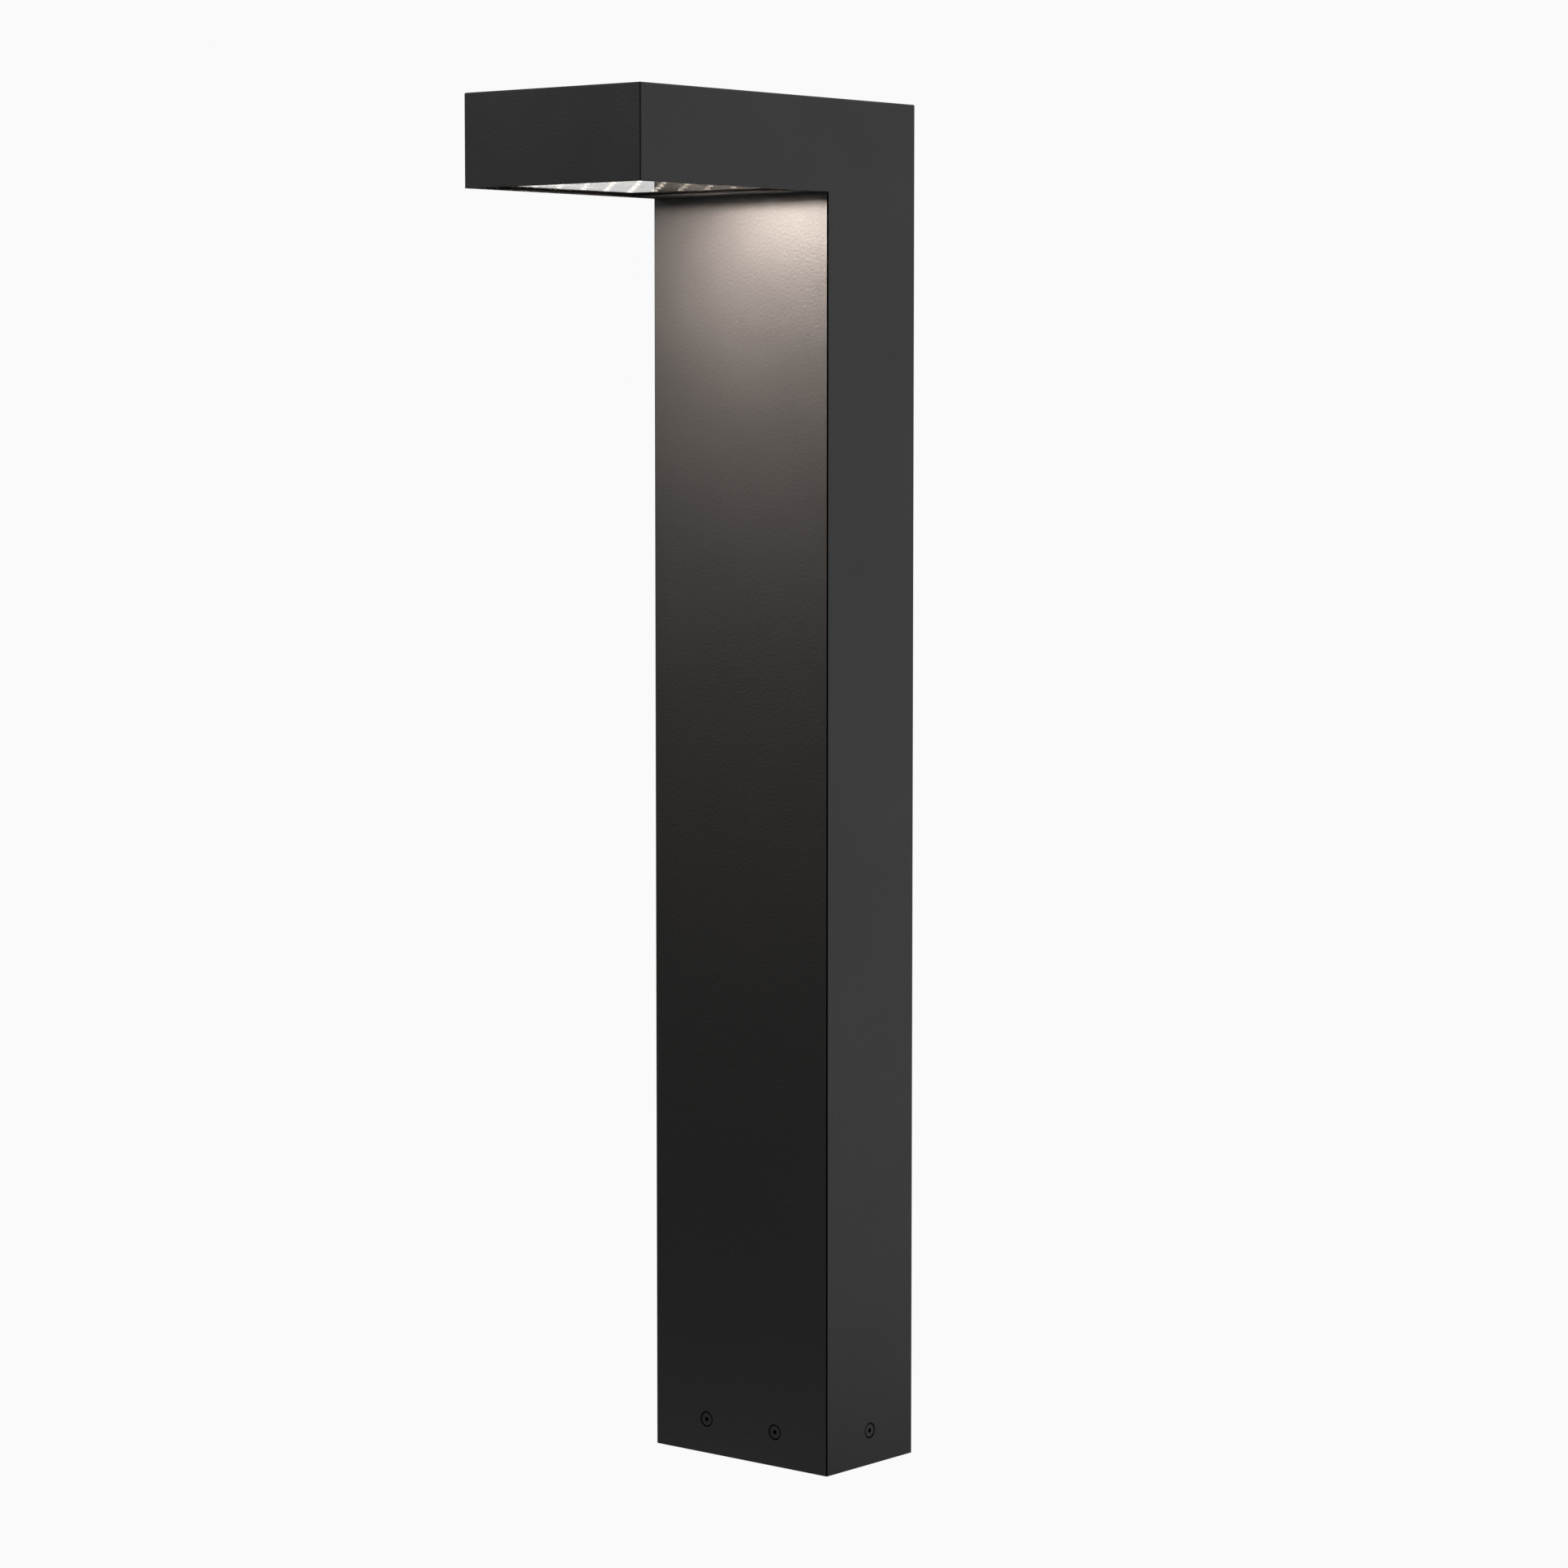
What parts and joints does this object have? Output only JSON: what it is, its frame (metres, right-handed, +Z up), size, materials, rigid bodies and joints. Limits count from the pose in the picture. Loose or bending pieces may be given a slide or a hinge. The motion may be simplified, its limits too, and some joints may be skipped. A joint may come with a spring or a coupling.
{
  "type": "bollard light",
  "caption": "Rectangular bollard light: an upright column with a box head of the same width reaching forward over a glazed downward-facing LED opening.",
  "frame": {"origin": "centre of the column's footprint at ground level, on the axis of the supply cable hole", "axes": "+Z up along the column, X across its width, the head reaches out towards -Y"},
  "size_m": [0.15, 0.27, 0.9],
  "materials": {
    "powder_coat": "satin",
    "clear_glass": "polished",
    "black_silicone": "matte",
    "mill_aluminium": "satin",
    "white_reflector": "satin",
    "optic_acrylic": "polished",
    "board_white": "satin",
    "led_phosphor": "satin",
    "gap_pad": "matte",
    "zinc_steel": "satin",
    "black_steel": "satin",
    "galvanised_sheet": "satin",
    "white_plastic": "matte",
    "grey_plastic": "matte",
    "black_plastic": "matte",
    "blue_plastic": "matte",
    "brass": "satin",
    "tinned_copper": "satin",
    "lead_red": "satin",
    "lead_black": "satin",
    "lead_brown": "satin",
    "lead_blue": "satin",
    "lead_green_yellow": "satin"
  },
  "bodies": {
    "root": {"column_tube": "powder_coat", "head_shell": "powder_coat", "cover_glass": "clear_glass", "glass_gasket": "black_silicone", "glass_ledge": "mill_aluminium", "reflector_frame": "white_reflector", "lens_array": "optic_acrylic", "led_board": "board_white", "led_packages": "led_phosphor", "thermal_pad": "gap_pad", "heat_sink": "mill_aluminium", "module_standoffs": "mill_aluminium", "module_screws": "zinc_steel", "lens_screws": "zinc_steel", "board_connector": "white_plastic", "lead_positive": "lead_red", "lead_negative": "lead_black", "wire_grommet": "black_silicone", "vent_plug": "black_plastic", "vent_locknut": "black_plastic", "anchor_plate": "galvanised_sheet", "base_upstand": "galvanised_sheet", "clinch_nuts": "zinc_steel", "countersunk_screws": "black_steel", "gear_tray": "galvanised_sheet", "tray_foot_screws": "zinc_steel", "gear_screws": "zinc_steel", "gear_nuts": "zinc_steel", "driver_case": "mill_aluminium", "driver_end_caps": "black_plastic", "surge_protector": "blue_plastic", "terminal_block": "white_plastic", "terminal_clamps": "zinc_steel", "mains_lead_live": "lead_brown", "mains_lead_neutral": "lead_blue", "earth_stud": "brass", "earth_washer": "brass", "earth_ring_terminal": "tinned_copper", "earth_nut": "brass", "earth_lead": "lead_green_yellow", "gland_body": "grey_plastic", "gland_seal": "black_silicone", "gland_dome_nut": "grey_plastic", "gland_locknut": "grey_plastic"}
  },
  "joints": []
}
